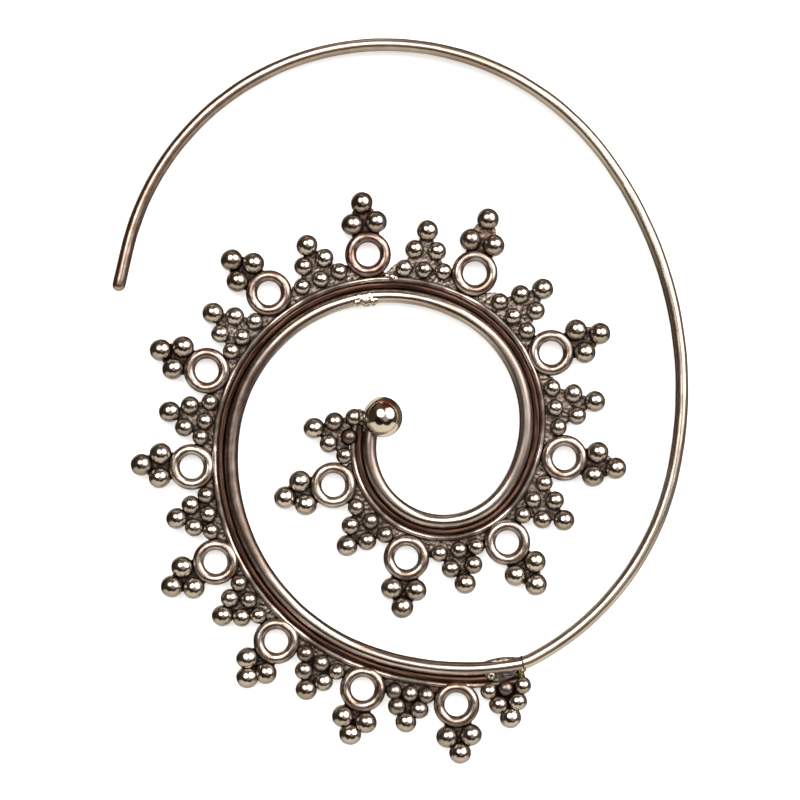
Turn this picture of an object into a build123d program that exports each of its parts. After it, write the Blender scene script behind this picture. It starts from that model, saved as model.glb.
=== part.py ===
# Spiral hoop earring of brass, lying flat on its back. Units are millimetres.
# X runs across the hoop, Y runs up it, and the surface it rests on is at Z = 0.
import math
import os

from build123d import *

os.makedirs("parts", exist_ok=True)

# Overall curve of the hoop, which the spiral and the ear wire both follow
hoop_radius = 21.0

# Spiral band: a round wire on the inner side, a floor strip and a thin rim wire
band_width = 2.0
inner_wire = 1.0
rim_wire = 0.42
floor_thickness = 0.4
cap_length = 2.9
cap_granule = 0.7

# Ear wire
ear_wire_diameter = 1.0
tip_length = 2.8
joint_bend_radius = 2.5
joint_bend = 16.0

# Ball on the inner end of the band
ball_diameter = 3.0
ball_lap = 0.75

# Ring with a trefoil of three beads
ring_hole = 1.9
ring_wire = 0.82
trefoil_bead = 1.65
pair_spacing = 1.86
apex_step = 1.45
foot_width = 1.7
neck_width = 1.7

# Triangle of six beads
base_bead = 1.3
middle_bead = 1.42
apex_bead = 1.6
bead_spacing = 1.56
middle_spacing = 1.75
row_step = 1.42
row_height = 0.84
web_margin = 0.4
web_shoulder = 0.55
web_spread = 1.1
first_station = 1.48

# Joints between soldered pieces
web_thickness = 0.45
web_drop = 0.05
solder_gap = 0.04
bead_tuck = 0.31
cut_margin = 1.0

# Arcs of the band's inner edge, from the ball outward: radius as a share of hoop_radius, turn in degrees
SPIRAL = [
    (0.25, 162.5),
    (0.42, 96.0),
    (0.557, 113.0),
    (0.738, 76.0),
    (1.038, 32.5),
]
SPIRAL_START = (-0.078, -0.094)
SPIRAL_HEADING = -108.5

# Arcs of the ear wire after its joint, in the same columns
EAR_WIRE = [
    (1.02, 49.0),
    (1.455, 50.5),
    (1.02, 48.5),
    (0.985, 81.5),
]

# A row for each ring, from the ball outward: nudge along the band as a share of the pitch, lean in degrees,
# set into the rim as a share of the ring wire, step from the pair to the apex bead as a share of apex_step
RINGS = [
    (0.0, -4.5, 0.0, 1.0),
    (-0.025, 14.0, 0.0, 0.98),
    (-0.05, 0.5, 0.2, 1.05),
    (-0.07, 2.0, 0.0, 1.12),
    (-0.04, -3.5, 0.25, 1.12),
    (0.035, 12.0, 0.0, 1.3),
    (0.09, 1.0, 0.0, 1.1),
    (0.125, 11.5, 0.0, 0.98),
    (0.09, 0.0, 0.0, 1.02),
    (0.045, -4.5, 0.25, 1.0),
    (0.02, 4.0, 0.35, 1.0),
    (0.015, 2.5, 0.45, 0.8),
    (0.005, 3.0, 0.55, 0.83),
    (-0.035, 6.0, 0.65, 0.92),
]

# A row for each triangle, in the same order: nudge, lean, set into the band as a share of row_height,
# step between its rows as a share of row_step, width as a share of the bead spacing
TRIANGLES = [
    (0.03, -7.5, 0.8, 1.0, 1.0),
    (-0.01, 1.0, 0.0, 0.94, 1.0),
    (-0.02, 2.0, 0.0, 0.94, 1.0),
    (-0.07, -1.5, 0.0, 1.02, 1.0),
    (-0.08, 4.0, 0.0, 1.1, 1.0),
    (-0.025, -1.5, 0.0, 1.1, 1.0),
    (0.025, 6.0, 0.0, 1.08, 1.0),
    (0.105, 1.0, 0.0, 1.0, 1.0),
    (0.12, -1.0, 0.0, 1.04, 1.0),
    (0.075, -5.0, 0.0, 1.0, 1.0),
    (0.035, -5.0, 0.0, 0.88, 1.0),
    (0.02, -6.0, 0.0, 0.85, 1.0),
    (0.015, -0.5, 0.0, 0.84, 1.0),
    (-0.015, 1.5, 0.0, 0.79, 1.0),
    (-0.02, 2.0, 0.7, 0.82, 0.86),
]

# Sizes that follow from the ones above
middle_z = trefoil_bead / 2
web_bottom = middle_z - web_drop - web_thickness
ring_outer = ring_hole + 2 * ring_wire
ring_middle = ring_outer - ring_wire
row_line = band_width + row_height
room_height = ball_diameter + cut_margin

# Beads have their poles level and their seam on top, clear of the webs
BEAD_AXES = Plane(origin=(0, 0, 0), x_dir=(0, 0, 1), z_dir=(0, 1, 0)).location


def walk(length, line):
    """Point on the band's inner edge and heading there, at a length measured along a line off that edge."""
    x, y = (share * hoop_radius for share in SPIRAL_START)
    heading = math.radians(SPIRAL_HEADING)
    for row, (share, turn) in enumerate(SPIRAL):
        radius = share * hoop_radius
        angle = length / (radius + line)
        if row < len(SPIRAL) - 1:
            angle = min(angle, math.radians(turn))
        x += radius * (math.sin(heading + angle) - math.sin(heading))
        y -= radius * (math.cos(heading + angle) - math.cos(heading))
        heading += angle
        length -= (radius + line) * angle
    return Vector(x, y), heading


def line_length(line):
    return sum((share * hoop_radius + line) * math.radians(turn) for share, turn in SPIRAL)


def along(heading):
    return Vector(math.cos(heading), math.sin(heading))


def away(heading):
    return Vector(math.sin(heading), -math.cos(heading))


def section_plane(point, heading):
    """Cross-section of the band: local X points inward and local Y up."""
    return Plane(origin=point, x_dir=-away(heading), z_dir=along(heading))


def seat(station, off, lean=0.0):
    """Place beside the band at a station on the bead row: its Y axis points away from the band."""
    point, heading = walk(station, row_line)
    point += away(heading) * off
    return Location((point.X, point.Y, 0), (0, 0, math.degrees(heading) - 180 + lean))


# Even pitch of the ornaments, as many as fit between the two end triangles
run = line_length(row_line) - first_station - bead_spacing
tight_pitch = 2 * (bead_spacing + ring_outer / 2 + base_bead / 2 - bead_tuck)
unit_count = int(run / tight_pitch)
unit_pitch = run / unit_count

rings = []
for unit in range(unit_count):
    nudge, lean, set_in, step = RINGS[unit % len(RINGS)]
    station = first_station + (unit + 0.5 + nudge) * unit_pitch
    off = band_width + 2 * solder_gap + ring_outer / 2 - set_in * ring_wire
    rings.append((seat(station, off, lean), seat(station, off), step * apex_step))

# Beads of each triangle, the end ones pushed clear of the rings beside them
triangles = []
for unit in range(unit_count + 1):
    row = len(TRIANGLES) - 1 if unit == unit_count else unit % (len(TRIANGLES) - 1)
    nudge, lean, set_in, share, width = TRIANGLES[row]
    station = first_station + (unit + nudge) * unit_pitch
    place = seat(station, row_line - set_in * row_height, lean)
    step = share * row_step
    beads = [
        (-width * bead_spacing, 0, base_bead),
        (0, 0, base_bead),
        (width * bead_spacing, 0, base_bead),
        (-width * middle_spacing / 2, step, middle_bead),
        (width * middle_spacing / 2, step, middle_bead),
        (0, 2 * step, apex_bead),
    ]
    for ring_place, _, _ in rings[max(unit - 1, 0) : unit + 1]:
        centre = (place.inverse() * ring_place).position
        for number, (x, y, bead) in enumerate(beads):
            reach = Vector(x, y) - Vector(centre.X, centre.Y)
            clear = (ring_outer + bead) / 2 + solder_gap
            if reach.length < clear:
                moved = Vector(centre.X, centre.Y) + reach.normalized() * clear
                beads[number] = (moved.X, moved.Y, bead)
    triangles.append((place, beads, set_in > 0))

# Ball on the inner end, raised so that it rests on the same surface as the beads
start, start_heading = walk(0, 0)
ball_centre = start - along(start_heading) * (ball_diameter / 2 - ball_lap) + Vector(0, 0, ball_diameter / 2)

with BuildPart() as end_ball:
    with Locations(ball_centre):
        Sphere(ball_diameter / 2)
end_ball.part.label = "end_ball"
export_step(end_ball.part, "parts/end_ball.step")

with BuildPart() as ball_room:
    with Locations(ball_centre):
        Sphere(ball_diameter / 2 + solder_gap)

# Inner edge of the band, the path of its sweeps
with BuildLine() as band_path:
    point, heading = start, start_heading
    for share, turn in SPIRAL:
        JernArc(point, along(heading), share * hoop_radius, turn)
        point, heading = band_path.line @ 1, heading + math.radians(turn)

# Room that the band takes up with its solder gap, which the ornaments are cut back to
with BuildPart() as band_room:
    with BuildSketch(section_plane(start, start_heading)):
        with Locations((-(band_width + solder_gap) / 2, room_height / 2)):
            Rectangle(band_width + solder_gap, room_height)
    sweep(path=band_path.line)

# Solid end of the channel beside the ear wire, with a small granule on it
strip_inner = inner_wire / 2
strip_outer = band_width - rim_wire / 2
strip_line = (strip_inner + strip_outer) / 2
cap_top = middle_z + rim_wire / 2
cap_start, cap_heading = walk(line_length(0) - cap_length, 0)
cap_radius = SPIRAL[-1][0] * hoop_radius

with BuildPart() as channel_cap:
    with BuildLine() as cap_path:
        JernArc(cap_start, along(cap_heading), cap_radius, math.degrees(cap_length / cap_radius))
    with BuildSketch(section_plane(cap_start, cap_heading)):
        with Locations((-strip_line, (web_bottom + cap_top) / 2)):
            Rectangle(strip_outer - strip_inner, cap_top - web_bottom)
    sweep(path=cap_path.line)
    granule = cap_start + along(cap_heading) * cap_granule / 2 + away(cap_heading) * strip_line
    with Locations(granule + Vector(0, 0, cap_top)):
        Sphere(cap_granule / 2)

# Spiral band in one piece: inner wire, floor strip, rim wire and channel end,
# cut back for the ball and for the two end triangles that are set into it
with BuildPart() as spiral_band:
    with BuildSketch(section_plane(start, start_heading)):
        with Locations((-inner_wire / 2, middle_z)):
            Circle(inner_wire / 2)
        with Locations((-strip_line, web_bottom + floor_thickness / 2)):
            Rectangle(strip_outer - strip_inner, floor_thickness)
        with Locations((-strip_outer, middle_z)):
            Circle(rim_wire / 2)
    sweep(path=band_path.line)
    add(channel_cap.part)
    add(ball_room.part, mode=Mode.SUBTRACT)
    for place, beads, inset in triangles:
        if inset:
            with BuildSketch(Plane(place)):
                for x, y, _ in (beads[0], beads[2], beads[5]):
                    with Locations((x, y)):
                        Circle(web_margin + solder_gap)
                make_hull()
                for x, y, bead in beads:
                    with Locations((x, y)):
                        Circle(bead / 2 + solder_gap)
            extrude(amount=room_height, mode=Mode.SUBTRACT)
spiral_band.part.label = "spiral_band"
export_step(spiral_band.part, "parts/spiral_band.step")

# Ear wire, from a gap at the end of the band's inner wire round to its free rounded tip
joint, joint_heading = walk(line_length(0), 0)
joint += away(joint_heading) * inner_wire / 2 + along(joint_heading) * solder_gap + Vector(0, 0, middle_z)
with BuildPart() as ear_wire:
    with BuildLine() as wire_path:
        JernArc(joint, along(joint_heading), joint_bend_radius, joint_bend)
        heading = joint_heading + math.radians(joint_bend)
        for share, turn in EAR_WIRE:
            JernArc(wire_path.line @ 1, along(heading), share * hoop_radius, turn)
            heading += math.radians(turn)
        tip = wire_path.line @ 1 + along(heading) * tip_length
        Line(wire_path.line @ 1, tip)
    with BuildSketch(Plane(origin=joint, z_dir=along(joint_heading))):
        Circle(ear_wire_diameter / 2)
    sweep(path=wire_path.line)
    with Locations(tip):
        Sphere(ear_wire_diameter / 2)
ear_wire.part.label = "ear_wire"
export_step(ear_wire.part, "parts/ear_wire.step")
print("ear wire tip", [round(v, 2) for v in tip], "heading", round(math.degrees(heading), 1))

# Rings, each with its foot on the rim and three beads on a web beyond it
foot_height = ring_wire / 2 + 2 * solder_gap + band_width / 2
pair_reach = (ring_outer + trefoil_bead) / 2 + solder_gap
pair_y = math.sqrt(pair_reach**2 - (pair_spacing / 2) ** 2)
for unit, (place, straight, step) in enumerate(rings, 1):
    beads = [(-pair_spacing / 2, pair_y), (pair_spacing / 2, pair_y), (0, pair_y + step)]
    with BuildPart() as ring_trefoil:
        with Locations(place * Location((0, 0, middle_z))):
            Torus(ring_middle / 2, ring_wire / 2)
        with BuildSketch(Plane(place).offset(web_bottom)):
            with Locations(*beads):
                Circle(web_margin)
            with Locations((0, (ring_outer + ring_middle) / 4)):
                Rectangle(neck_width, ring_wire / 2)
            make_hull()
        extrude(amount=web_thickness)
        with BuildSketch(Plane(straight).offset(web_bottom)):
            with Locations((0, -(ring_middle + foot_height) / 2)):
                Rectangle(foot_width, foot_height)
        extrude(amount=web_thickness)
        for x, y in beads:
            with Locations(place * Location((x, y, middle_z)) * BEAD_AXES):
                Sphere(trefoil_bead / 2)
        add(band_room.part, mode=Mode.SUBTRACT)
    ring_trefoil.part.label = f"ring_trefoil_{unit:02d}"
    export_step(ring_trefoil.part, f"parts/ring_trefoil_{unit:02d}.step")

# Triangles, each on its own web, which is cut back to the band and to the rings beside it
for unit, (place, beads, inset) in enumerate(triangles, 1):
    corners = [beads[0][:2], beads[2][:2], beads[5][:2]]
    rim_corners = [(side * (bead_spacing + web_shoulder), 0) for side in (-1, 1)]
    rim_corners += [(side * (bead_spacing + web_spread), -row_height) for side in (-1, 1)]
    with BuildPart() as bead_triangle:
        with BuildSketch(Plane(place).offset(web_bottom)):
            with Locations(*corners):
                Circle(web_margin)
            make_hull()
        extrude(amount=web_thickness)
        if not inset:
            with BuildSketch(Plane(place).offset(web_bottom)):
                with Locations(*rim_corners):
                    Circle(web_margin)
                make_hull()
            extrude(amount=web_thickness)
            add(band_room.part, mode=Mode.SUBTRACT)
        for _, straight, _ in rings[max(unit - 2, 0) : unit]:
            with BuildSketch(Plane(straight)):
                Circle(ring_outer / 2 + solder_gap)
                with Locations((0, -ring_outer / 2)):
                    Rectangle(foot_width + 2 * solder_gap, ring_outer)
            extrude(amount=room_height, mode=Mode.SUBTRACT)
        for x, y, bead in beads:
            with Locations(place * Location((x, y, middle_z)) * BEAD_AXES):
                Sphere(bead / 2)
    bead_triangle.part.label = f"bead_triangle_{unit:02d}"
    export_step(bead_triangle.part, f"parts/bead_triangle_{unit:02d}.step")
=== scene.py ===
# %% [markdown]
# # A spiral hoop earring of aged brass
# The real earring is soldered up by hand from round wire, rings and small melted balls, then darkened with
# an oxide and rubbed bright again on its high spots. This lesson loads the plain construction model as a
# fixed frame, and then makes a finished piece for each of its nodes: the band, the ear wire, the ball, and
# the rings and bead clusters round the outside.

# %% Load the frame
import math
import random

import bpy
import numpy as np
from mathutils import Matrix, Vector


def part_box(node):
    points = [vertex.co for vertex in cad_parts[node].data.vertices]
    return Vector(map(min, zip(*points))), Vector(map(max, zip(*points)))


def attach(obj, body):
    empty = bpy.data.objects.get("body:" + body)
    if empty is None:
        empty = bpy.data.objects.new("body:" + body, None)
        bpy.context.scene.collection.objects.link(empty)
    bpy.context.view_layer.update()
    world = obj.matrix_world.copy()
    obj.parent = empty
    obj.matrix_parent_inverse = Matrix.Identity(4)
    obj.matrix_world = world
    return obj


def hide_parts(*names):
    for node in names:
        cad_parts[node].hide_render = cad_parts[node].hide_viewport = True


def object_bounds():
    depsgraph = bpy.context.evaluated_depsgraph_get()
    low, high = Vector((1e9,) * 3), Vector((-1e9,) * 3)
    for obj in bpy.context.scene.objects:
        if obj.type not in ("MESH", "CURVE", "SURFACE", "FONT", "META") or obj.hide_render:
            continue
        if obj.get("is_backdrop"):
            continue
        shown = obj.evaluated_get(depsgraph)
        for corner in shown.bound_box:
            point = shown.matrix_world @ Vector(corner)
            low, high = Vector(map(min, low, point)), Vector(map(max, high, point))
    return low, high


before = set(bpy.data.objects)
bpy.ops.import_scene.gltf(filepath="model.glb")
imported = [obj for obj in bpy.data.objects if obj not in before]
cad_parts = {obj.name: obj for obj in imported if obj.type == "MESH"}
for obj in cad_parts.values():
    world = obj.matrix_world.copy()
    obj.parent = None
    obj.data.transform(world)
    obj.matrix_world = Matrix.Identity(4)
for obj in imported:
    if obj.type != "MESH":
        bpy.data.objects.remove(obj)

METRES_PER_MM = 0.001
cad_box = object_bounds()
bpy.ops.object.select_all(action="DESELECT")
for name in ("spiral_band", "ear_wire", "end_ball"):
    low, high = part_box(name)
    print(name, "is", [round((b - a) / METRES_PER_MM, 1) for a, b in zip(low, high)], "mm")
print("frame holds", len(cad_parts), "nodes")

# %% [markdown]
# ## Sizes
# A jeweller thinks in millimetres, and so does this lesson: each piece is modelled in millimetres and made
# smaller once, when it is finished. The sizes are those of the construction model. Only the wires of the
# band are a little fuller here, because solder has run along them.

# %% Sizes in millimetres
hoop_radius = 21.0

# Band: a thick wire, a floor strip and a thin wire
band_width = 2.0
inner_wire = 1.08
rim_wire = 0.44
floor_thickness = 0.4

# Ear wire
ear_wire_diameter = 1.0
tip_length = 2.8
joint_bend_radius = 2.5
joint_bend = 16.0

# Ball on the inner end
ball_diameter = 3.0
ball_lap = 0.75

# Ring with three beads
ring_hole = 1.9
ring_wire = 0.82
trefoil_bead = 1.65
pair_spacing = 1.86
apex_step = 1.45
foot_width = 1.7
neck_width = 1.7

# Triangle of six beads
base_bead = 1.3
middle_bead = 1.42
apex_bead = 1.6
bead_spacing = 1.56
middle_spacing = 1.75
row_step = 1.42
row_height = 0.84
web_margin = 0.4
web_shoulder = 0.55
web_spread = 1.1
first_station = 1.48

# Where soldered pieces meet
web_thickness = 0.45
web_drop = 0.05
solder_gap = 0.04
bead_tuck = 0.31

middle_z = trefoil_bead / 2
web_bottom = middle_z - web_drop - web_thickness
ring_outer = ring_hole + 2 * ring_wire
ring_middle = ring_outer - ring_wire
row_line = band_width + row_height
print("rings are", round(ring_outer, 2), "mm wide and stand on a band of", band_width, "mm")

# %% [markdown]
# ## The line of the spiral
# A spiral like this is bent round a few mandrels, so five arcs that flow into each other describe it well.
# A point on it is found by walking along the arcs. The alternative, a curve drawn through many points,
# would bulge between them, and nobody could read a radius off it.

# %% Arcs, as in the construction model
# Radius as a share of hoop_radius, turn in degrees
SPIRAL = [
    (0.25, 162.5),
    (0.42, 96.0),
    (0.557, 113.0),
    (0.738, 76.0),
    (1.038, 32.5),
]
SPIRAL_START = (-0.078, -0.094)
SPIRAL_HEADING = -108.5

EAR_WIRE = [
    (1.02, 49.0),
    (1.455, 50.5),
    (1.02, 48.5),
    (0.985, 81.5),
]
print("the band turns through", sum(turn for _, turn in SPIRAL), "degrees")

# %% Rows, as in the construction model, with the finish of each piece in the last column
# Nudge along the band as a share of the pitch, lean in degrees, set into the rim as a share of the ring
# wire, step from the pair to the apex bead as a share of apex_step, and how red the ring is, from 0 to 1
RINGS = [
    (0.0, -4.5, 0.0, 1.0, 0.1),
    (-0.025, 14.0, 0.0, 0.98, 0.45),
    (-0.05, 0.5, 0.2, 1.05, 0.15),
    (-0.07, 2.0, 0.0, 1.12, 0.3),
    (-0.04, -3.5, 0.25, 1.12, 0.45),
    (0.035, 12.0, 0.0, 1.3, 0.6),
    (0.09, 1.0, 0.0, 1.1, 1.0),
    (0.125, 11.5, 0.0, 0.98, 0.7),
    (0.09, 0.0, 0.0, 1.02, 0.7),
    (0.045, -4.5, 0.25, 1.0, 0.2),
    (0.02, 4.0, 0.35, 1.0, 0.35),
    (0.015, 2.5, 0.45, 0.8, 0.3),
    (0.005, 3.0, 0.55, 0.83, 0.5),
    (-0.035, 6.0, 0.65, 0.92, 0.5),
]

# Nudge, lean, set into the band as a share of row_height, step between rows as a share of row_step,
# width as a share of the bead spacing, and how dull the cluster has stayed from 0 to 1
TRIANGLES = [
    (0.03, -7.5, 0.8, 1.0, 1.0, 0.4),
    (-0.01, 1.0, 0.0, 0.94, 1.0, 0.4),
    (-0.02, 2.0, 0.0, 0.94, 1.0, 0.3),
    (-0.07, -1.5, 0.0, 1.02, 1.0, 0.2),
    (-0.08, 4.0, 0.0, 1.1, 1.0, 0.3),
    (-0.025, -1.5, 0.0, 1.1, 1.0, 0.2),
    (0.025, 6.0, 0.0, 1.08, 1.0, 0.1),
    (0.105, 1.0, 0.0, 1.0, 1.0, 0.1),
    (0.12, -1.0, 0.0, 1.04, 1.0, 0.2),
    (0.075, -5.0, 0.0, 1.0, 1.0, 0.3),
    (0.035, -5.0, 0.0, 0.88, 1.0, 0.3),
    (0.02, -6.0, 0.0, 0.85, 1.0, 0.3),
    (0.015, -0.5, 0.0, 0.84, 1.0, 0.4),
    (-0.015, 1.5, 0.0, 0.79, 1.0, 0.6),
    (-0.02, 2.0, 0.7, 0.82, 0.86, 0.3),
]
print("tables hold", len(RINGS), "rings and", len(TRIANGLES), "bead clusters")


# %% Walking along the arcs
def along(heading):
    return Vector((math.cos(heading), math.sin(heading), 0))


def away(heading):
    """To the right of a heading, which is away from the centre of a curve to the left."""
    return Vector((math.sin(heading), -math.cos(heading), 0))


def walk(length, line):
    """Point on the band's inner edge and heading there, at a length measured along a line off that edge."""
    point = Vector((SPIRAL_START[0], SPIRAL_START[1], 0)) * hoop_radius
    heading = math.radians(SPIRAL_HEADING)
    for row, (share, turn) in enumerate(SPIRAL):
        radius = share * hoop_radius
        angle = length / (radius + line)
        if row < len(SPIRAL) - 1:
            angle = min(angle, math.radians(turn))
        point += radius * (away(heading + angle) - away(heading))
        heading += angle
        length -= (radius + line) * angle
    return point, heading


def line_length(line):
    return sum((share * hoop_radius + line) * math.radians(turn) for share, turn in SPIRAL)


def seat(station, off, lean=0.0):
    """Place beside the band at a station on the bead row: its Y axis points away from the band."""
    point, heading = walk(station, row_line)
    point += away(heading) * off
    return Matrix.Translation(point) @ Matrix.Rotation(heading - math.pi + math.radians(lean), 4, "Z")


start, start_heading = walk(0, 0)
band_end, end_heading = walk(line_length(0), 0)
print("inner edge of the band is", round(line_length(0), 1), "mm long and ends at", band_end.to_tuple(1))

# %% Places of the rings and bead clusters
# As many units of a ring and a cluster as the row has room for, at an even pitch
run = line_length(row_line) - first_station - bead_spacing
tight_pitch = 2 * (bead_spacing + ring_outer / 2 + base_bead / 2 - bead_tuck)
unit_count = int(run / tight_pitch)
unit_pitch = run / unit_count

rings = []
for unit in range(unit_count):
    nudge, lean, set_in, step, redness = RINGS[unit]
    station = first_station + (unit + 0.5 + nudge) * unit_pitch
    off = band_width + 2 * solder_gap + ring_outer / 2 - set_in * ring_wire
    rings.append((seat(station, off, lean), seat(station, off), off - band_width, step * apex_step, redness))

triangles = []
for unit in range(unit_count + 1):
    nudge, lean, set_in, share, width, dullness = TRIANGLES[unit]
    station = first_station + (unit + nudge) * unit_pitch
    place = seat(station, row_line - set_in * row_height, lean)
    step = share * row_step
    beads = [
        (-width * bead_spacing, 0, base_bead),
        (0, 0, base_bead),
        (width * bead_spacing, 0, base_bead),
        (-width * middle_spacing / 2, step, middle_bead),
        (width * middle_spacing / 2, step, middle_bead),
        (0, 2 * step, apex_bead),
    ]
    # A bead that would touch a ring beside it is pushed clear of it
    for ring_place, *_ in rings[max(unit - 1, 0) : unit + 1]:
        centre = (place.inverted() @ ring_place).to_translation()
        for number, (x, y, bead) in enumerate(beads):
            reach = Vector((x, y)) - centre.xy
            clear = (ring_outer + bead) / 2 + solder_gap
            if reach.length < clear:
                moved = centre.xy + reach.normalized() * clear
                beads[number] = (moved.x, moved.y, bead)
    triangles.append((place, beads, set_in > 0, dullness))
print(len(rings), "rings and", len(triangles), "bead clusters,", round(unit_pitch, 2), "mm apart")

# %% [markdown]
# ## The camera
# The earring lies flat and is seen from straight above. A long lens, as for any product picture, keeps the
# rings at the edge as round as those in the middle. The distance follows from how much should fit in.

# %% Camera straight above
lens_mm = 100.0
sensor_mm = 36.0
# What the picture takes in, in millimetres
view_width = 62.5
view_centre = Vector((-0.06, 0.06, middle_z))

bpy.ops.object.camera_add(rotation=(0, 0, 0))
camera = bpy.context.object
camera.name = "camera"
camera.data.lens = lens_mm
camera.data.sensor_width = sensor_mm
camera_height = view_width * lens_mm / sensor_mm
camera.location = (view_centre + Vector((0, 0, camera_height))) * METRES_PER_MM
camera.data.clip_start = 0.005
camera.data.clip_end = 5.0
bpy.context.scene.camera = camera
print("camera is", round(camera_height), "mm above the earring")

# %% [markdown]
# ## Small helpers
# An operator works on whatever is selected, so every step starts by selecting nothing. These few helpers do
# what a hand on the mouse would do between two modelling steps: look away, pick, join, apply.


# %% Picking and joining
def look_away():
    if bpy.context.object and bpy.context.object.mode != "OBJECT":
        bpy.ops.object.mode_set(mode="OBJECT")
    bpy.ops.object.select_all(action="DESELECT")


def pick(*pieces):
    look_away()
    for piece in pieces:
        piece.select_set(True)
    bpy.context.view_layer.objects.active = pieces[0]


def new_piece(name):
    """Takes up the object that an operator has just added, with its place put into its mesh."""
    piece = bpy.context.object
    piece.name = name
    bpy.ops.object.transform_apply(location=True, rotation=True, scale=True)
    return piece


def join(name, pieces):
    pick(*pieces)
    bpy.ops.object.join()
    pieces[0].name = name
    return pieces[0]


def copy_to(piece, place, name):
    twin = piece.copy()
    twin.data = piece.data.copy()
    twin.data.transform(place)
    twin.name = name
    bpy.context.scene.collection.objects.link(twin)
    return twin


def apply_all(piece):
    pick(piece)
    for modifier in list(piece.modifiers):
        bpy.ops.object.modifier_apply(modifier=modifier.name)


# %% Hand work
def roughen(piece, depth, grain):
    """Pushes the surface in and out by a soft noise, as hand work and melted solder leave it."""
    texture = bpy.data.textures.new(piece.name + "_noise", "CLOUDS")
    texture.noise_scale = grain
    bump = piece.modifiers.new("hand_work", "DISPLACE")
    bump.texture = texture
    bump.strength = depth
    bump.mid_level = 0.5
    apply_all(piece)
    bpy.data.textures.remove(texture)


def outward(piece):
    pick(piece)
    bpy.ops.object.mode_set(mode="EDIT")
    bpy.ops.mesh.select_all(action="SELECT")
    bpy.ops.mesh.remove_doubles(threshold=0.001)
    bpy.ops.mesh.normals_make_consistent(inside=False)
    bpy.ops.object.mode_set(mode="OBJECT")


# %% [markdown]
# ## Wear, stain and painted shade, point by point
# On the real earring each stretch was rubbed and heated a little differently. That could be painted by hand
# as a texture, but a number on every point of a mesh needs no unwrapping, and the material reads it by name:
# dull is how much oxide colour is laid on, both for oxide left on the metal and for painted shade on lower
# sides and upright stretches, and stain how far heat has turned the metal's colour.


# %% Tints
def smooth_step(value, low, high):
    share = np.clip((value - low) / (high - low), 0, 1)
    return share * share * (3 - 2 * share)


def corners_of(piece):
    """The piece's points in millimetres, a row for each."""
    points = np.empty(len(piece.data.vertices) * 3)
    piece.data.vertices.foreach_get("co", points)
    return points.reshape(-1, 3)


def tint(piece, name, value):
    """A number on every point of the piece, or one worked out from its places, for its material to read."""
    layer = piece.data.attributes.get(name) or piece.data.attributes.new(name, "FLOAT", "POINT")
    values = value(corners_of(piece)) if callable(value) else np.full(len(piece.data.vertices), value)
    layer.data.foreach_set("value", values)


def near(spot, inner, outer, strength):
    """How close a point is to a spot: full strength within the inner distance, nothing past the outer."""
    return lambda points: strength * smooth_step(
        np.linalg.norm(points - np.array(spot), axis=1), outer, inner
    )


def darker_low_sides(radius, amount, least=0.0):
    """Painted shade: a lying wire or bead is darker lower down its sides than on its top, by the amount
    given.
    """
    high = middle_z + 0.9 * radius
    low = middle_z + 0.4 * radius
    return lambda points: np.minimum(least + amount * smooth_step(points[:, 2], high, low), 1)


def strongest(*layers):
    """The strongest of several tints at each point."""
    return lambda points: np.max([layer(points) for layer in layers], axis=0)


# %% The run of a wire
def unroll(points, point, heading, arcs):
    """Length along a line of arcs, and distance off it to the right, of each point."""
    flat = np.array(points)[:, :2]
    gap = np.full(len(flat), np.inf)
    length = np.zeros(len(flat))
    off = np.zeros(len(flat))
    walked = 0.0
    for radius, turn in arcs:
        centre = point - away(heading) * radius
        spoke = flat - np.array(centre.xy)
        turned = (np.arctan2(spoke[:, 0], -spoke[:, 1]) - heading + math.pi) % math.tau - math.pi
        turned = np.clip(turned, 0, turn)
        foot = np.array(centre.xy) + radius * np.stack(
            [np.sin(heading + turned), -np.cos(heading + turned)], axis=1
        )
        distance = np.linalg.norm(flat - foot, axis=1)
        closer = distance < gap
        gap[closer] = distance[closer]
        length[closer] = walked + radius * turned[closer]
        off[closer] = np.linalg.norm(spoke[closer], axis=1) - radius
        point = centre + away(heading + turn) * radius
        heading += turn
        walked += radius * turn
    return length, off


def lay_run(piece, point, heading, arcs):
    """Gives every point its length along the wire, its distance off it and its height, in millimetres."""
    points = corners_of(piece)
    length, off = unroll(points, point, heading, arcs)
    layer = piece.data.attributes.new("run", "FLOAT_VECTOR", "POINT")
    layer.data.foreach_set("vector", np.stack([length, off, points[:, 2]], axis=1).ravel())


# %% Handing a piece over
# Faces that meet at more than this many degrees keep a sharp edge
crease = 35.0


def hand_over(piece, node):
    """Brings a finished piece from millimetres to metres, hangs it on the root body and hides its node in
    the frame.
    """
    # Dents may push a point below the table that the earring lies on
    points = corners_of(piece)
    points[:, 2] = np.maximum(points[:, 2], 0)
    piece.data.vertices.foreach_set("co", points.ravel())
    pick(piece)
    piece.scale = (METRES_PER_MM,) * 3
    bpy.ops.object.transform_apply(location=True, rotation=True, scale=True)
    bpy.ops.object.shade_smooth_by_angle(angle=math.radians(crease))
    piece.data.name = piece.name
    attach(piece, "root")
    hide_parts(node)
    look_away()
    return sum(len(face.vertices) - 2 for face in piece.data.polygons)


# %% [markdown]
# ## Colours and nodes
# Colours are picked as the hex values that a screen shows, and turned to the linear values that light uses.
# A material could be wired node by node in the editor. In a script, one small function that adds a node,
# sets it and links it keeps every step on a line or two.


# %% Colour and node helpers
def linear(hex_colour):
    """Linear RGBA from an sRGB hex value such as 'c8a070'."""
    channels = [int(hex_colour[i : i + 2], 16) / 255 for i in (0, 2, 4)]
    bent = [c / 12.92 if c <= 0.04045 else ((c + 0.055) / 1.055) ** 2.4 for c in channels]
    return (*bent, 1.0)


def add_node(tree, kind, settings=None, links=None):
    """Adds a node: settings name its properties or sockets, links name its sockets and what feeds them."""
    node = tree.nodes.new(kind)
    for key, value in (settings or {}).items():
        if isinstance(key, str) and hasattr(node, key):
            setattr(node, key, value)
        else:
            node.inputs[key].default_value = value
    for key, source in (links or {}).items():
        tree.links.new(source, node.inputs[key])
    return node


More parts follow.
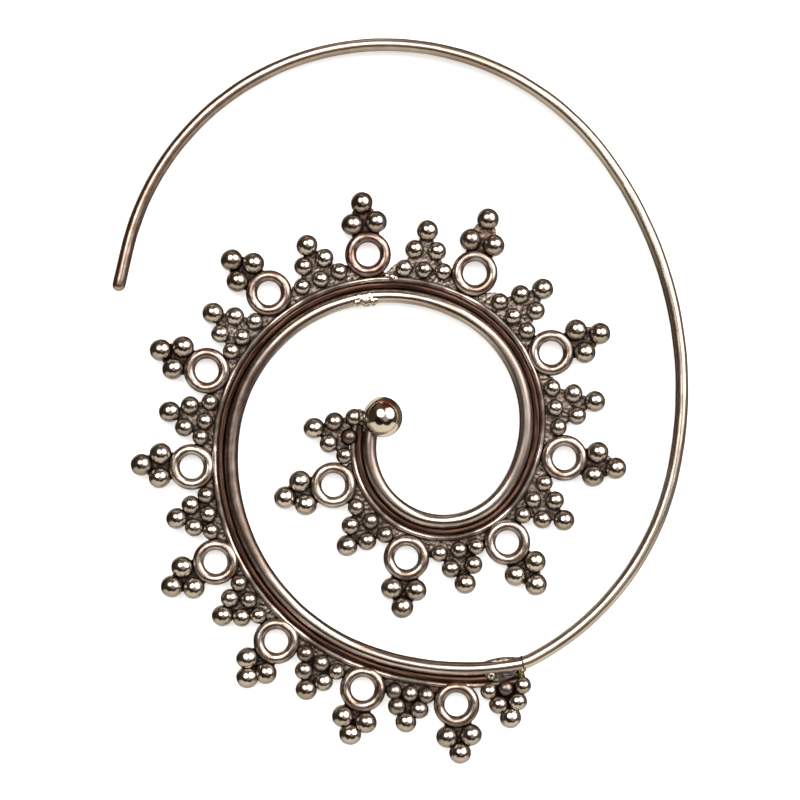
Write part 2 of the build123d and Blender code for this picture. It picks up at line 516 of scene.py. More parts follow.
# %% [markdown]
# ## Aged brass
# Brass is an alloy of copper and zinc. Here it was dipped in an oxidising bath, which turns all of it dark
# brown, and then rubbed on a buff, which brings back pale champagne metal wherever the buff can reach. So
# the finish has two parts: how bright the metal is, and how much oxide is left in the corners. Ambient
# occlusion, which measures how shut in a point is, tells the corners from the high spots.


# %% Patterns in millimetres
def pattern(tree, size, detail):
    """Soft spots of a size in millimetres, or streaks if the size is a pair, along and across the wire."""
    if isinstance(size, tuple):
        along_size, across_size = size
        run = add_node(tree, "ShaderNodeAttribute", {"attribute_name": "run"}).outputs["Vector"]
        stretch = {"Scale": (1 / along_size, 1 / across_size, 1 / across_size)}
        place = add_node(tree, "ShaderNodeMapping", stretch, {"Vector": run}).outputs["Vector"]
        scale = 1.0
    else:
        place = add_node(tree, "ShaderNodeTexCoord").outputs["Object"]
        scale = 1 / (size * METRES_PER_MM)
    spots = add_node(tree, "ShaderNodeTexNoise", {"Scale": scale, "Detail": detail}, {"Vector": place})
    return spots.outputs["Fac"]


# %% Brass that was oxidised and rubbed bright
blotch_size = 0.7
edge_size = 0.3
edge_raggedness = 0.35
corner_oxide = 0.96
oxide_roughness = 0.3
mark_height = 0.02


def aged_brass(
    name,
    bright,
    warm,
    oxide,
    roughness,
    patch=2.5,
    corner=0.45,
    reach=0.5,
    mark=0.2,
    grain=0.25,
    stain="7f5d53",
):
    """bright and warm are the metal's two tones, in patches of a size in millimetres. oxide is what is left.

    corner is how shut in a point must be to keep its oxide, reach the width of a corner in millimetres, mark
    the depth of the marks left by the work and grain their size. stain is what heat brought up."""
    material = bpy.data.materials.new(name)
    material.use_nodes = True
    tree = material.node_tree
    shader = tree.nodes["Principled BSDF"]
    shader.inputs["Metallic"].default_value = 1.0

    # Two tones of metal
    patches = pattern(tree, patch, 4.0)
    tone = add_node(tree, "ShaderNodeMapRange", {"From Min": 0.42, "From Max": 0.62}, {"Value": patches})
    metal = add_node(
        tree,
        "ShaderNodeMix",
        {"data_type": "RGBA", 6: linear(bright), 7: linear(warm)},
        {0: tone.outputs["Result"]},
    )

    # A stain where heat has turned the metal, in blotches
    told_stain = add_node(tree, "ShaderNodeAttribute", {"attribute_name": "stain"})
    blotch = add_node(
        tree,
        "ShaderNodeMapRange",
        {"From Min": 0.3, "From Max": 0.6, "To Min": 0.45},
        {"Value": pattern(tree, blotch_size, 3.0)},
    )
    stained = add_node(
        tree,
        "ShaderNodeMath",
        {"operation": "MULTIPLY"},
        {0: told_stain.outputs["Fac"], 1: blotch.outputs["Result"]},
    )
    colour = add_node(
        tree,
        "ShaderNodeMix",
        {"data_type": "RGBA", 7: linear(stain)},
        {0: stained.outputs[0], 6: metal.outputs[2]},
    )

    # What is shut in keeps its oxide, with a ragged edge; the dull number lays on the same oxide colour, for
    # oxide that the buff has missed and for painted shade
    shut_in = add_node(
        tree, "ShaderNodeAmbientOcclusion", {"samples": 8, "Distance": reach * METRES_PER_MM}
    )
    edge = add_node(
        tree,
        "ShaderNodeMath",
        {"operation": "MULTIPLY_ADD", 1: edge_raggedness},
        {0: pattern(tree, edge_size, 3.0), 2: shut_in.outputs["AO"]},
    )
    in_corner = add_node(
        tree,
        "ShaderNodeMapRange",
        {"From Min": corner + edge_raggedness, "From Max": corner, "To Max": corner_oxide},
        {"Value": edge.outputs[0]},
    )
    told_dull = add_node(tree, "ShaderNodeAttribute", {"attribute_name": "dull"})
    left = add_node(
        tree,
        "ShaderNodeMath",
        {"operation": "MAXIMUM", "use_clamp": True},
        {0: in_corner.outputs["Result"], 1: told_dull.outputs["Fac"]},
    ).outputs[0]
    surface = add_node(
        tree, "ShaderNodeMix", {"data_type": "RGBA", 7: linear(oxide)}, {0: left, 6: colour.outputs[2]}
    )
    tree.links.new(surface.outputs[2], shader.inputs["Base Color"])

    # Oxide is duller than rubbed metal
    rough = {"To Min": roughness, "To Max": roughness + oxide_roughness}
    gloss = add_node(tree, "ShaderNodeMapRange", rough, {"Value": left})
    tree.links.new(gloss.outputs["Result"], shader.inputs["Roughness"])

    # Marks of the buff or the drawing plate, and small dents
    bump = add_node(
        tree,
        "ShaderNodeBump",
        {"Strength": mark, "Distance": mark_height * METRES_PER_MM},
        {"Height": pattern(tree, grain, 5.0)},
    )
    tree.links.new(bump.outputs["Normal"], shader.inputs["Normal"])
    return material


# %% Brass of the beads, the ball and the rings
# Cast and buffed beads: pale champagne gleam, soft dents
bead_brass = aged_brass("buffed_brass_bead", "e2dad0", "cbbfb2", "2b1b10", 0.15, corner=0.52, mark=0.22)
# The ball was burnished most, and shows a red spot where it was heated
ball_brass = aged_brass(
    "burnished_brass_ball",
    "e6dccd",
    "cdc1b0",
    "20140c",
    0.11,
    corner=0.5,
    mark=0.25,
    grain=0.5,
    stain="a8483c",
)
# Ring wire that was heated twice: copper has come to its surface, and it was rubbed less
ring_brass = aged_brass(
    "copper_toned_brass_ring", "d3c9bf", "938477", "26170e", 0.26, patch=1.2, corner=0.55, mark=0.3
)
print("finishes:", bead_brass.name, ball_brass.name, ring_brass.name)

# %% Brass of the wires and the band
# Drawn wire: long fine scratches from the drawing plate, shown at 0.1 mm because finer ones would not show
wire_brass = aged_brass(
    "drawn_brass_wire",
    "dcd2ca",
    "a7978d",
    "22150d",
    0.2,
    patch=(5.0, 0.3),
    corner=0.45,
    mark=0.35,
    grain=(3.0, 0.1),
    stain="7a6152",
)
# The ear wire was handled most, so it is the palest, and it turns red-brown towards its free end
ear_brass = aged_brass(
    "drawn_brass_ear_wire",
    "e4dacb",
    "c2b09f",
    "2e2015",
    0.25,
    patch=(7.0, 0.6),
    corner=0.3,
    mark=0.25,
    grain=(3.0, 0.1),
    stain="8d6556",
)
# Brass that was smeared flat under the hammer: streaks of bright and dark
leaf_brass = aged_brass(
    "hammered_brass_leaf",
    "b3a8a5",
    "584c49",
    "1a120f",
    0.28,
    patch=(2.5, 0.1),
    corner=0.5,
    mark=1.0,
    grain=(2.0, 0.12),
)
# The low floor of the band, which no buff reached: dark, streaked along its length
channel_oxide = aged_brass(
    "oxidised_brass_channel",
    "5e463c",
    "35261e",
    "0a0604",
    0.4,
    patch=(3.0, 0.16),
    corner=0.3,
    reach=0.6,
    mark=1.0,
    grain=(2.2, 0.14),
)
print("finishes:", wire_brass.name, ear_brass.name, leaf_brass.name, channel_oxide.name)

# %% Solder
# Grey and rough: darkened between the beads, rubbed bright where it stands proud, golden at the joint
solder_dark = aged_brass(
    "darkened_silver_solder",
    "9a9187",
    "3d352e",
    "0d0a08",
    0.34,
    patch=0.3,
    corner=0.55,
    reach=0.5,
    mark=1.0,
    stain="6b453b",
)
solder_bright = aged_brass(
    "bright_silver_solder", "e6dbcd", "74685c", "2a1e15", 0.3, patch=0.25, corner=0.5, reach=0.3, mark=0.8
)
solder_gold = aged_brass(
    "golden_brass_solder", "c4b08a", "6d5e45", "1d1712", 0.3, patch=0.3, corner=0.6, reach=0.3, mark=0.6
)
print("finishes:", solder_dark.name, solder_bright.name, solder_gold.name)

# %% [markdown]
# ## Drawing a wire along the arcs
# The wire starts as a circle that stands across its line. Spinning it about the centre of each arc in turn
# sweeps it along, and because each arc starts where the last one ended, the tube is smooth. A bevelled curve
# would do the same, but the spin shows how the arcs fit together and gives an even mesh.

# %% Sweep along arcs
arc_step = 0.4
spiral_arcs = [(share * hoop_radius, math.radians(turn)) for share, turn in SPIRAL]


def spin_along(point, heading, arcs):
    """Spins the selected profile along arcs of (radius, turn in radians) that curve to the left."""
    for radius, turn in arcs:
        centre = point - away(heading) * radius
        steps = max(3, math.ceil(radius * turn / arc_step))
        # Spin turns clockwise about an axis that points at the viewer, so a left curve is a minus angle
        bpy.ops.mesh.spin(steps=steps, angle=-turn, center=centre, axis=(0, 0, 1))
        point = centre + away(heading + turn) * radius
        heading += turn
    return point, heading


def stand_across(heading):
    """Turn that stands a flat profile across a line of that heading."""
    return (math.pi / 2, 0, heading + math.pi / 2)


def sweep_band(name, offset, height, diameter, sides, flat=None):
    """A wire beside the inner edge of the band, or a strip if flat gives its width and thickness."""
    look_away()
    place = start + away(start_heading) * offset + Vector((0, 0, height))
    bpy.ops.mesh.primitive_circle_add(
        vertices=sides, radius=diameter / 2, location=place, rotation=stand_across(start_heading)
    )
    if flat:
        bpy.context.object.scale = (flat[0] / diameter, flat[1] / diameter, 1)
    piece = new_piece(name)
    bpy.ops.object.mode_set(mode="EDIT")
    bpy.ops.mesh.select_all(action="SELECT")
    spin_along(start, start_heading, spiral_arcs)
    bpy.ops.mesh.select_all(action="SELECT")
    bpy.ops.mesh.fill_holes(sides=0)
    outward(piece)
    lay_run(piece, start, start_heading, spiral_arcs)
    return piece


# %% [markdown]
# ## Drops of solder
# Solder draws itself into low, uneven drops. A few small balls run together by a voxel remesh, then
# roughened, give that shape; a sculpted lump would take longer and look no different at this size.


# %% Drops that run together
def melt(piece, voxel, smoothing):
    """Lets the parts of a piece run together into one skin, and fills every crease between them."""
    remesh = piece.modifiers.new("run_together", "REMESH")
    remesh.mode = "VOXEL"
    remesh.voxel_size = voxel
    calm = piece.modifiers.new("calm", "SMOOTH")
    calm.iterations = smoothing
    apply_all(piece)


def drops(name, spots, material, voxel=0.05, depth=0.1, grain=0.3):
    """One lump of solder from small balls, each given as x, y, height and diameter in millimetres."""
    balls = []
    for x, y, height, diameter in spots:
        look_away()
        bpy.ops.mesh.primitive_ico_sphere_add(subdivisions=2, radius=diameter / 2, location=(x, y, height))
        balls.append(new_piece("drop"))
    lump = join(name, balls)
    melt(lump, voxel, 2)
    lump.data.materials.append(material)
    roughen(lump, depth, grain)
    return lump


def beside(station, off, height, diameter):
    """A drop beside the inner edge of the band."""
    point, heading = walk(station, 0)
    point += away(heading) * off
    return (point.x, point.y, height, diameter)


def station_of(x, y):
    """Length along the band's inner edge to the point on it that lies nearest to a spot."""
    (station,), _ = unroll([(x, y)], start, start_heading, spiral_arcs)
    return station


# %% [markdown]
# ## The spiral band
# On the real earring the band is a shallow channel: a thick round wire on the inner side, a thin one on the
# rim, and a strip between them that lies low and has stayed dark. Three sweeps make it, and a fourth the low
# dome along the strip. The rim was rubbed bright beside each ring, where it stands proud, and has kept its
# oxide between them.

# %% Inner wire
thick_wire = sweep_band("inner_wire", inner_wire / 2, middle_z, inner_wire, 28)
thick_wire.data.materials.append(wire_brass)
roughen(thick_wire, 0.04, 1.6)

# Painted shade: it is darker lower down its sides, and darker still on its upright stretches, on the left,
# on the right and below the ball, which catch less light
left_turn = (-14.5, -5, 1)
shaded_upright_stretches = (
    near(left_turn, 7, 15, 0.6),
    near((10.5, -1, 1), 4, 10, 0.5),
    near((-2.3, -4.5, 1), 2, 5, 0.4),
)
tint(thick_wire, "dull", strongest(darker_low_sides(inner_wire / 2, 0.15), *shaded_upright_stretches))
tint(thick_wire, "stain", near(left_turn, 7, 16, 0.7))
print("inner wire:", len(thick_wire.data.polygons), "faces")

# %% Rim wire
rim_proud = 0.06
rim_dullness = 0.72
rubbed_radius = 2.2
unrubbed_radius = 2.9
ring_centres = np.array([place.to_translation().xy for place, *_ in rings])


def far_from_rings(points):
    apart = np.linalg.norm(points[:, None, :2] - ring_centres[None], axis=2).min(axis=1)
    return rim_dullness * smooth_step(apart, rubbed_radius, unrubbed_radius)


rim_centre = band_width - rim_wire / 2 + rim_proud
thin_wire = sweep_band("rim_wire", rim_centre, middle_z, rim_wire, 16)
thin_wire.data.materials.append(ring_brass)
roughen(thin_wire, 0.09, 0.8)
tint(thin_wire, "dull", far_from_rings)
print("rim wire:", len(thin_wire.data.polygons), "faces")

# %% Floor between the wires
# The floor lies low and is domed along its middle, with a black furrow on either side of the dome
strip_inner = inner_wire / 2
strip_width = rim_centre - strip_inner
floor_middle = web_bottom + floor_thickness / 2
floor_step = 0.05
floor = sweep_band(
    "channel_floor",
    strip_inner + strip_width / 2,
    floor_middle - floor_step,
    1.0,
    12,
    flat=(strip_width * 1.1, floor_thickness * 0.7),
)
floor.data.materials.append(channel_oxide)
# The low floor is kept almost black: oxide, and painted shade in the furrows beside the dome
tint(floor, "dull", 0.9)

dome_line = 1.4
dome_size = (0.62, 0.5)
dome = sweep_band("channel_dome", dome_line, floor_middle + floor_step, 1.0, 24, flat=dome_size)
dome.data.materials.append(channel_oxide)
roughen(dome, 0.1, 0.5)
print("floor and dome:", len(floor.data.polygons), "and", len(dome.data.polygons), "faces")

# %% Bright solder on the band
band_length = line_length(0)
random.seed(3)

# The inner wire was mended here, and the mend was left rough and bright
mend_pitch = 0.11
mend_station = station_of(-2.75, 7.75)
mend_spots = []
for step in range(-7, 8):
    off = random.uniform(0.18, 0.72)
    height = random.uniform(0.9, 1.0)
    diameter = random.uniform(0.75, 0.9)
    mend_spots.append(beside(mend_station + mend_pitch * step, off, height, diameter))
mend = drops("mend", mend_spots, solder_bright, depth=0.15, grain=0.36)

# A few bright crumbs where a ring's solder has run onto the rim
crumb_station = station_of(-0.75, 9.7)
crumb_spots = [
    beside(crumb_station - 0.35, 1.9, 0.92, 0.4),
    beside(crumb_station - 0.05, 2.0, 0.95, 0.55),
    beside(crumb_station + 0.3, 2.1, 0.92, 0.5),
]
crumbs = drops("crumbs", crumb_spots, solder_bright, depth=0.12, grain=0.16)

# A thin lip of solder swells the inner wire towards the joint, thickest halfway
lip_length = 2.7
lip_pitch = 0.22
lip_count = 11
lip_spots = []
for step in range(lip_count):
    swell = math.sin(math.pi * (step + 0.5) / lip_count)
    lip_spots.append(beside(band_length - lip_length + lip_pitch * step, 0.14, 0.8, 0.36 + 0.36 * swell))
lip = drops("lip", lip_spots, solder_bright, depth=0.05, grain=0.5)
tint(lip, "dull", 0.5)
print("bright drops:", len(mend_spots) + len(crumb_spots) + len(lip_spots))

# %% Dark solder at the foot of the ball
ball_foot = start + away(start_heading) * 0.6
foot_spots = [
    (ball_foot.x + x, ball_foot.y + y, height, diameter)
    for x, y, height, diameter in (
        (-0.75, 0.35, 0.8, 1.1),
        (-0.3, 0.1, 0.8, 1.2),
        (0.25, -0.05, 0.75, 1.0),
        (-1.0, 0.7, 0.75, 0.9),
        (-0.55, -0.35, 0.7, 0.8),
    )
]
ball_solder = drops("ball_solder", foot_spots, solder_dark, voxel=0.07, depth=0.16)
print("dark drops:", len(foot_spots))

# %% [markdown]
# ## The closed end of the channel
# Beside the joint a rough leaf of brass was hammered down over the channel, with a tiny ring on it. A flat
# plate could be cut to the outline and bent. It is quicker to set a small upright disc at each corner, at
# the height that the leaf has there, take the hull of them all, and melt its edges.


# %% Leaf and tiny ring
def hull(name, corners, radius, depth, sides):
    """The hull of a small upright disc at each corner, given as x, y and height."""
    look_away()
    disc = {"vertices": sides, "radius": radius, "depth": depth}
    bpy.ops.mesh.primitive_cylinder_add(location=corners[0], **disc)
    piece = new_piece(name)
    bpy.ops.object.mode_set(mode="EDIT")
    for corner in corners[1:]:
        bpy.ops.mesh.primitive_cylinder_add(location=corner, **disc)
    bpy.ops.mesh.select_all(action="SELECT")
    bpy.ops.mesh.convex_hull()
    bpy.ops.object.mode_set(mode="OBJECT")
    return piece


leaf_corners = [
    (6.7, -21.1, 0.9),
    (8.95, -20.85, 0.95),
    (8.75, -21.35, 0.85),
    (7.95, -21.85, 0.75),
    (7.3, -21.75, 0.75),
    (6.75, -21.45, 0.75),
]
leaf = hull("leaf", leaf_corners, 0.16, 0.5, 12)
melt(leaf, 0.06, 4)
leaf.data.materials.append(leaf_brass)
roughen(leaf, 0.16, 0.35)
lay_run(leaf, start, start_heading, spiral_arcs)

look_away()
bpy.ops.mesh.primitive_torus_add(
    location=(7.03, -21.47, 1.1), major_radius=0.19, minor_radius=0.1, major_segments=24, minor_segments=10
)
tiny_ring = new_piece("tiny_ring")
tiny_ring.data.materials.append(solder_bright)
roughen(tiny_ring, 0.05, 0.3)

band = join(
    "spiral_band_piece",
    [thick_wire, thin_wire, floor, dome, mend, crumbs, lip, ball_solder, leaf, tiny_ring],
)
print("spiral band:", hand_over(band, "spiral_band"), "triangles")

# %% [markdown]
# ## The ear wire
# It is plain drawn wire, soldered to the end of the band and bent round in one large sweep. Its free end is
# cut and filed round so that it slips through the ear. After the spins, the straight tip is one extrusion,
# and the rounded end is a few more, each a little smaller.

# %% Ear wire
look_away()
ear_radius = ear_wire_diameter / 2
joint = band_end + away(end_heading) * ear_radius + along(end_heading) * solder_gap
joint.z = middle_z
bpy.ops.mesh.primitive_circle_add(
    vertices=28, radius=ear_radius, location=joint, rotation=stand_across(end_heading)
)
ear_wire = new_piece("ear_wire_piece")
bpy.ops.object.mode_set(mode="EDIT")
bpy.ops.mesh.select_all(action="SELECT")
wire_arcs = [(joint_bend_radius, math.radians(joint_bend))]
wire_arcs += [(share * hoop_radius, math.radians(turn)) for share, turn in EAR_WIRE]
point, heading = spin_along(joint, end_heading, wire_arcs)
straight_steps = 6
for _ in range(straight_steps):
    stretch = along(heading) * tip_length / straight_steps
    bpy.ops.mesh.extrude_region_move(TRANSFORM_OT_translate={"value": stretch})
    point = point + stretch

# Quarter round of the filed end
round_steps = 5
for number in range(1, round_steps + 1):
    before = (number - 1) / round_steps * math.pi / 2
    after = number / round_steps * math.pi / 2
    advance = along(heading) * ear_radius * (math.sin(after) - math.sin(before))
    bpy.ops.mesh.extrude_region_move(TRANSFORM_OT_translate={"value": advance})
    point = point + advance
    if number < round_steps:
        shrink = math.cos(after) / math.cos(before)
        bpy.ops.transform.resize(value=(shrink,) * 3, center_override=point)
bpy.ops.mesh.merge(type="CENTER")
bpy.ops.mesh.select_all(action="SELECT")
bpy.ops.mesh.fill_holes(sides=0)
outward(ear_wire)
lay_run(ear_wire, joint, end_heading, wire_arcs)
ear_wire.data.materials.append(ear_brass)
roughen(ear_wire, 0.05, 1.8)
print("ear wire ends at", point.to_tuple(1))

# %% Painted shade and stain of the ear wire, and the joint
free_end = (-19, 18, 1)
top_of_sweep = (0, 28, 1)
# Painted shade: the ear wire is darker lower down its sides
tint(ear_wire, "dull", darker_low_sides(ear_radius, 0.38))
tint(ear_wire, "stain", strongest(near(free_end, 9, 17, 0.65), near(top_of_sweep, 5, 17, 0.3)))

# The joint shows as a thin red-brown seam, with golden solder run down beside it
seam_width = 0.13
look_away()
bpy.ops.mesh.primitive_cylinder_add(
    vertices=28,
    radius=inner_wire / 2 + 0.02,
    depth=seam_width,
    location=joint - along(end_heading) * 0.02,
    rotation=stand_across(end_heading),
)
seam = new_piece("seam")
seam.data.materials.append(ring_brass)
tint(seam, "stain", 1.0)
tint(seam, "dull", 0.45)
gold_spots = [
    (joint.x + x, joint.y + y, height, diameter)
    for x, y, height, diameter in (
        (-0.22, -0.4, 0.95, 0.5),
        (-0.14, -0.6, 0.9, 0.55),
        (-0.14, -0.85, 0.88, 0.5),
        (-0.16, -1.1, 0.85, 0.45),
        (0.08, -0.5, 0.85, 0.45),
    )
]
gold = drops("gold", gold_spots, solder_gold)
ear_wire = join("ear_wire_piece", [ear_wire, seam, gold])
print("ear wire:", hand_over(ear_wire, "ear_wire"), "triangles")

# %% [markdown]
# ## One melted bead
# Each bead is a snip of brass melted until it draws itself into a ball, so none is perfectly round. One is
# modelled and copied, and every copy is turned another way, so that its small dents never line up.

# %% Bead model
look_away()
bpy.ops.mesh.primitive_ico_sphere_add(subdivisions=4, radius=0.5)
bead_model = new_piece("bead_model")
bpy.ops.object.mode_set(mode="EDIT")
bpy.ops.mesh.select_all(action="SELECT")
bpy.ops.transform.resize(value=(1.0, 0.985, 0.97))
bpy.ops.object.mode_set(mode="OBJECT")
bead_model.data.materials.append(bead_brass)
roughen(bead_model, 0.035, 0.45)
print("bead model:", len(bead_model.data.polygons), "faces")

# %% Laying a bead
random.seed(7)
# Beads that were melted side by side have run into each other a little
bead_swell = 1.05
most_turn = 6.28


def lay_bead(place, x, y, diameter, dullness, redness):
    wide = diameter * bead_swell
    turn = Matrix.Rotation(random.uniform(0, most_turn), 4, Vector((random.random(), random.random(), 1)))
    fullness = (wide, wide, wide / bead_swell, 1)
    at = place @ Matrix.Translation((x, y, middle_z)) @ Matrix.Diagonal(fullness) @ turn
    bead = copy_to(bead_model, at, "bead")
    # Painted shade: the bead is darker lower down its sides, over its own dullness
    tint(bead, "dull", darker_low_sides(wide / 2, 0.42, dullness))
    tint(bead, "stain", redness)
    return bead


# %% [markdown]
# ## Solder under the beads
# The beads of a cluster sit in a pool of solder that has crept up between them. To get that melted look,
# slightly smaller balls and a plate are run together by a voxel remesh and then smoothed: smoothing fills
# every crease, just as solder does. The clean beads then stand out of it.

# %% Solder pool
# Balls and rings inside the solder, as a share of those that stand out of it
core_share = 0.9
plate_depth = web_thickness - 0.06


def plate(corners, margin):
    """Flat plate round some corners, with that margin."""
    height = web_bottom + plate_depth / 2
    return hull("plate", [(x, y, height) for x, y in corners], margin, plate_depth, 16)


def core_ball(x, y, diameter):
    look_away()
    bpy.ops.mesh.primitive_ico_sphere_add(
        subdivisions=3, radius=diameter * core_share / 2, location=(x, y, middle_z)
    )
    return new_piece("core_ball")


def solder_pool(name, parts):
    pool = join(name, parts)
    melt(pool, 0.08, 4)
    pool.data.materials.append(solder_dark)
    roughen(pool, 0.14, 0.22)
    return pool


# %% [markdown]
# ## Rings with three beads
# A ring of wire is soldered onto the rim with a little foot, and carries three beads on its far side. A
# bevelled circle would make the ring too, but a torus is a mesh at once, and so it can be dented and given
# its tints point by point like everything else.

# %% Rings
ring_swell = 0.05
neck_inset = 0.2
foot_margin = 0.25
foot_spread = (foot_width / 2 + 0.15, 0.8)
foot_rise = 0.05
foot_tuck = 0.1
pair_reach = (ring_outer + trefoil_bead) / 2 + solder_gap
pair_y = math.sqrt(pair_reach**2 - (pair_spacing / 2) ** 2)
neck_x = neck_width / 2 - neck_inset
neck_y = (ring_outer + ring_middle) / 4


def wire_ring(name, wire, around, across):
    """A ring of wire about the origin, with that many faces around it and across the wire."""
    look_away()
    bpy.ops.mesh.primitive_torus_add(
        location=(0, 0, middle_z),
        major_radius=ring_middle / 2,
        minor_radius=wire / 2,
        major_segments=around,
        minor_segments=across,
    )
    return new_piece(name)


ring_triangles = 0
for unit, (place, straight, clear, step, redness) in enumerate(rings, 1):
    spots = [(-pair_spacing / 2, pair_y), (pair_spacing / 2, pair_y), (0, pair_y + step)]
    parts = [plate(spots + [(-neck_x, neck_y), (neck_x, neck_y)], web_margin)]
    parts += [core_ball(x, y, trefoil_bead) for x, y in spots]

    # The foot goes squarely from the ring to the rim, whatever the ring's lean
    squared = place.inverted() @ straight
    foot = [(side * foot_spread[0], foot_rise - clear) for side in (-1, 1)]
    foot += [(side * foot_spread[1], -ring_middle / 2 - foot_tuck) for side in (-1, 1)]
    parts.append(plate([(squared @ Vector((x, y, 0))).xy for x, y in foot], foot_margin))
    parts.append(wire_ring("ring_core", ring_wire * core_share, 40, 12))
    pool = solder_pool(f"pool_{unit:02d}", parts)
    tint(pool, "stain", 0.8 * redness)
    pool.data.transform(place)

    ring = wire_ring("ring", ring_wire + ring_swell, 56, 18)
    ring.data.materials.append(ring_brass)
    roughen(ring, 0.06, 0.8)
    # Painted shade: the ring is darker lower down its sides; it is also darker by its beads
    by_the_beads = near((0, ring_outer / 2, 1.0), 0.3, 0.9, 0.5)
    tint(ring, "dull", strongest(darker_low_sides(ring_wire / 2, 0.5), by_the_beads))
    tint(ring, "stain", 0.75 * redness)
    ring.data.transform(place)

    trio = [lay_bead(place, x, y, trefoil_bead, random.uniform(0, 0.18), 0.4 * redness) for x, y in spots]
    piece = join(f"ring_trefoil_piece_{unit:02d}", [ring, pool, *trio])
    ring_triangles += hand_over(piece, f"ring_trefoil_{unit:02d}")
print("rings:", ring_triangles, "triangles")

# %% [markdown]
# ## Triangles of six beads
# Between the rings sit clusters of six beads, three on the rim, then two, then one. They are laid as the
# maker laid them, one by one into the solder, and the outer beads were rubbed brighter than the rim row.

# %% Bead clusters
# How much of a cluster's dullness each bead has: three on the rim, two in the middle row and the outer one
ROW_DULLNESS = (0.8, 0.8, 0.8, 0.6, 0.6, 0.2)
web_inset = 0.22
shoulder_drop = 0.1

cluster_triangles = 0
for unit, (place, beads, set_low, dullness) in enumerate(triangles, 1):
    parts = [plate([beads[0][:2], beads[2][:2], beads[5][:2]], web_margin - web_inset)]
    if not set_low:
        rim_corners = [(side * (bead_spacing + web_shoulder), -shoulder_drop) for side in (-1, 1)]
        rim_corners += [(side * (bead_spacing + web_spread), -row_height) for side in (-1, 1)]
        parts.append(plate(rim_corners, web_margin))
    parts += [core_ball(x, y, bead) for x, y, bead in beads]
    pool = solder_pool(f"web_{unit:02d}", parts)
    tint(pool, "stain", 0.6 * dullness)
    pool.data.transform(place)
    balls = []
    for number, (x, y, bead) in enumerate(beads):
        dull = dullness * ROW_DULLNESS[number] * random.uniform(0.4, 1.1)
        if set_low and number == 1:
            # The middle bead of an end cluster was pressed flat under the solder and never rubbed
            balls.append(lay_bead(place, x, y, bead, 0.6, 0.5))
        else:
            balls.append(lay_bead(place, x, y, bead, dull, random.uniform(0, 0.3)))
    piece = join(f"bead_triangle_piece_{unit:02d}", [pool, *balls])
    cluster_triangles += hand_over(piece, f"bead_triangle_{unit:02d}")
print("bead clusters:", cluster_triangles, "triangles")

# %% [markdown]
# ## The end ball
# The inner end of the band carries one large ball, burnished almost to a mirror. A mirror ball gives away
# every facet, so it has many faces, and it is pulled a little out of round and dented, as the real one is.

# %% End ball
look_away()
ball_centre = start - along(start_heading) * (ball_diameter / 2 - ball_lap)
ball_centre.z = ball_diameter / 2
bpy.ops.mesh.primitive_uv_sphere_add(
    segments=64, ring_count=40, radius=ball_diameter / 2, location=ball_centre
)
end_ball = new_piece("end_ball_piece")
bpy.ops.object.mode_set(mode="EDIT")
bpy.ops.mesh.select_all(action="SELECT")
bpy.ops.transform.resize(value=(1.02, 1.05, 1.0), center_override=ball_centre)
bpy.ops.object.mode_set(mode="OBJECT")
end_ball.data.materials.append(ball_brass)
roughen(end_ball, 0.04, 1.3)
tint(end_ball, "dull", near((ball_foot.x - 0.2, ball_foot.y, 1.0), 0.5, 1.5, 0.9))
tint(end_ball, "stain", near((ball_centre.x + 0.25, ball_centre.y + 1.0, 2.5), 0.2, 0.9, 0.9))
print("end ball:", hand_over(end_ball, "end_ball"), "triangles")
look_away()
bpy.data.objects.remove(bead_model)

# %% [markdown]
# ## Light and floor
# Polished metal shows what stands round it more than its own colour, so the studio matters more than any
# material here. Two soft lights above give each bead its double gleam, a large pale card on the near side
# gives the light crescent below it, and the dark rest of the room draws the dark outline. Light panels would
# do, but a world that is painted by direction has softer edges and is quick to render.

# %% A studio painted round the earring
# Direction that a patch is seen in, radius in degrees of its full and of its faded part, colour, strength.
# A later patch lies over those before it.
STUDIO = [
    # Brown walls on the far side and on the right, and a dark corner on the far left
    ((0, 1, 0.1), 15, 60, "6e6252", 1.0),
    ((1, 0.1, -0.5), 20, 40, "6e655a", 1.0),
    ((-0.6, 0.65, -0.2), 20, 32, "2c2017", 1.0),
    # Pale card low on the far left, a narrow bright slit on the far side, the large card on the near side
    ((-0.42, 0.5, -0.76), 22, 28, "d2cfc9", 1.2),
    ((-0.06, 1, 0.02), 4, 9, "f4efe8", 1.5),
    ((0, -1, 0), 63, 69, "e3dacb", 1.15),
    # Dark stands on both sides of the camera, the camera itself, and a pale patch to the right of it
    ((-0.3, -0.28, 0.9), 24, 33, "20160e", 1.0),
    ((0.42, -0.33, 0.85), 24, 33, "20160e", 1.0),
    ((0.05, 0.08, 1), 10, 26, "6e695c", 1.0),
    ((0.32, -0.08, 0.94), 12, 22, "a09a9c", 1.0),
    # The two soft lights
    ((0.64, 0.38, 0.66), 19, 30, "fff7f2", 6.0),
    ((-0.2, 0.38, 0.9), 14, 23, "fff7f2", 6.0),
]
world = bpy.data.worlds.new("studio")
world.use_nodes = True
sky = world.node_tree
direction = add_node(sky, "ShaderNodeTexCoord").outputs["Generated"]
room = add_node(sky, "ShaderNodeRGB")
room.outputs[0].default_value = linear("3d3428")
behind = room.outputs[0]
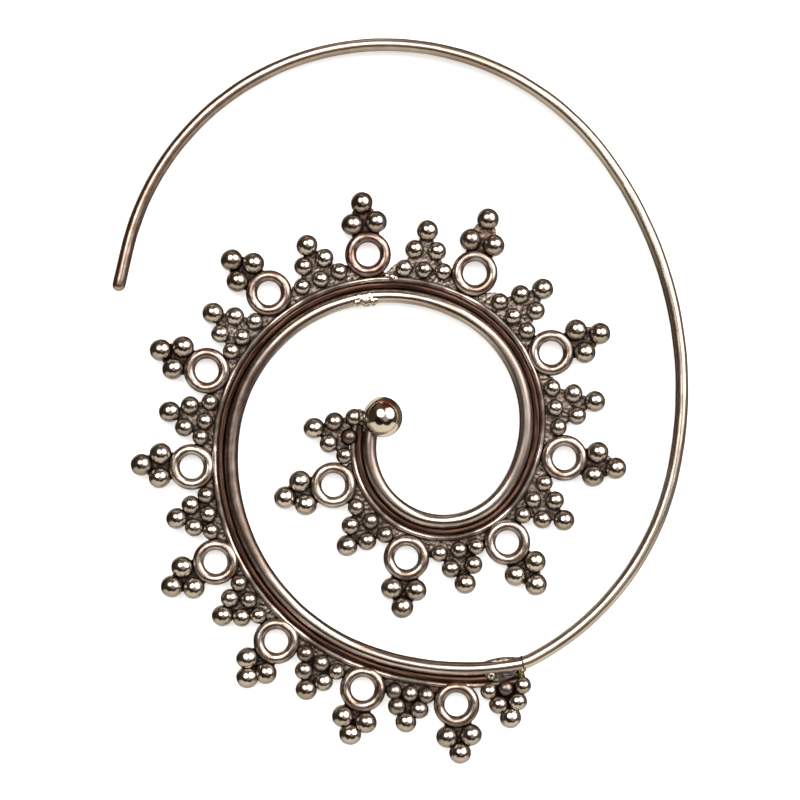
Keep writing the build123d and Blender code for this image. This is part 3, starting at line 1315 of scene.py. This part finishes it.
for toward, full, faded, colour, strength in STUDIO:
    aim = Vector(toward).normalized()
    facing = add_node(sky, "ShaderNodeVectorMath", {"operation": "DOT_PRODUCT", 1: aim}, {0: direction})
    edge = {
        "interpolation_type": "SMOOTHSTEP",
        "From Min": math.cos(math.radians(faded)),
        "From Max": math.cos(math.radians(full)),
    }
    share = add_node(sky, "ShaderNodeMapRange", edge, {"Value": facing.outputs["Value"]})
    light = (*(c * strength for c in linear(colour)[:3]), 1.0)
    behind = add_node(
        sky,
        "ShaderNodeMix",
        {"data_type": "RGBA", "clamp_factor": True, 7: light},
        {0: share.outputs["Result"], 6: behind},
    ).outputs[2]

# The camera itself sees a pale room above the floor
seen = add_node(sky, "ShaderNodeLightPath").outputs["Is Camera Ray"]
shown = add_node(sky, "ShaderNodeMix", {"data_type": "RGBA", 7: linear("f4f3f1")}, {0: seen, 6: behind})
sky.links.new(shown.outputs[2], sky.nodes["Background"].inputs["Color"])
bpy.context.scene.world = world
print("studio has", len(STUDIO), "patches")

# %% Floor of white paper
# The paper itself is left out of reflections, as if it ended right behind the piece: brass on bright paper
# would otherwise lose its dark outline
look_away()
bpy.ops.mesh.primitive_plane_add(size=1.6, location=(0, 0, 0))
paper = bpy.context.object
paper.name = "paper"
paper.visible_glossy = False
white = bpy.data.materials.new("white_paper")
white.use_nodes = True
white_shader = white.node_tree.nodes["Principled BSDF"]
white_shader.inputs["Base Color"].default_value = linear("dedede")
white_shader.inputs["Roughness"].default_value = 0.9
white_shader.inputs["Specular IOR Level"].default_value = 0.0
white_shader.inputs["Emission Color"].default_value = (1, 1, 1, 1)
white_shader.inputs["Emission Strength"].default_value = 0.62
paper.data.materials.append(white)
paper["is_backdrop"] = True
bpy.context.scene.view_settings.view_transform = "Standard"
print("paper is", round(paper.dimensions.x, 2), "m wide")

# %% Size of the frame and of the finished pieces
visual_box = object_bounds()
for label, box in (("cad", cad_box), ("visual", visual_box)):
    print(label, [[round(v / METRES_PER_MM, 2) for v in corner] for corner in box])
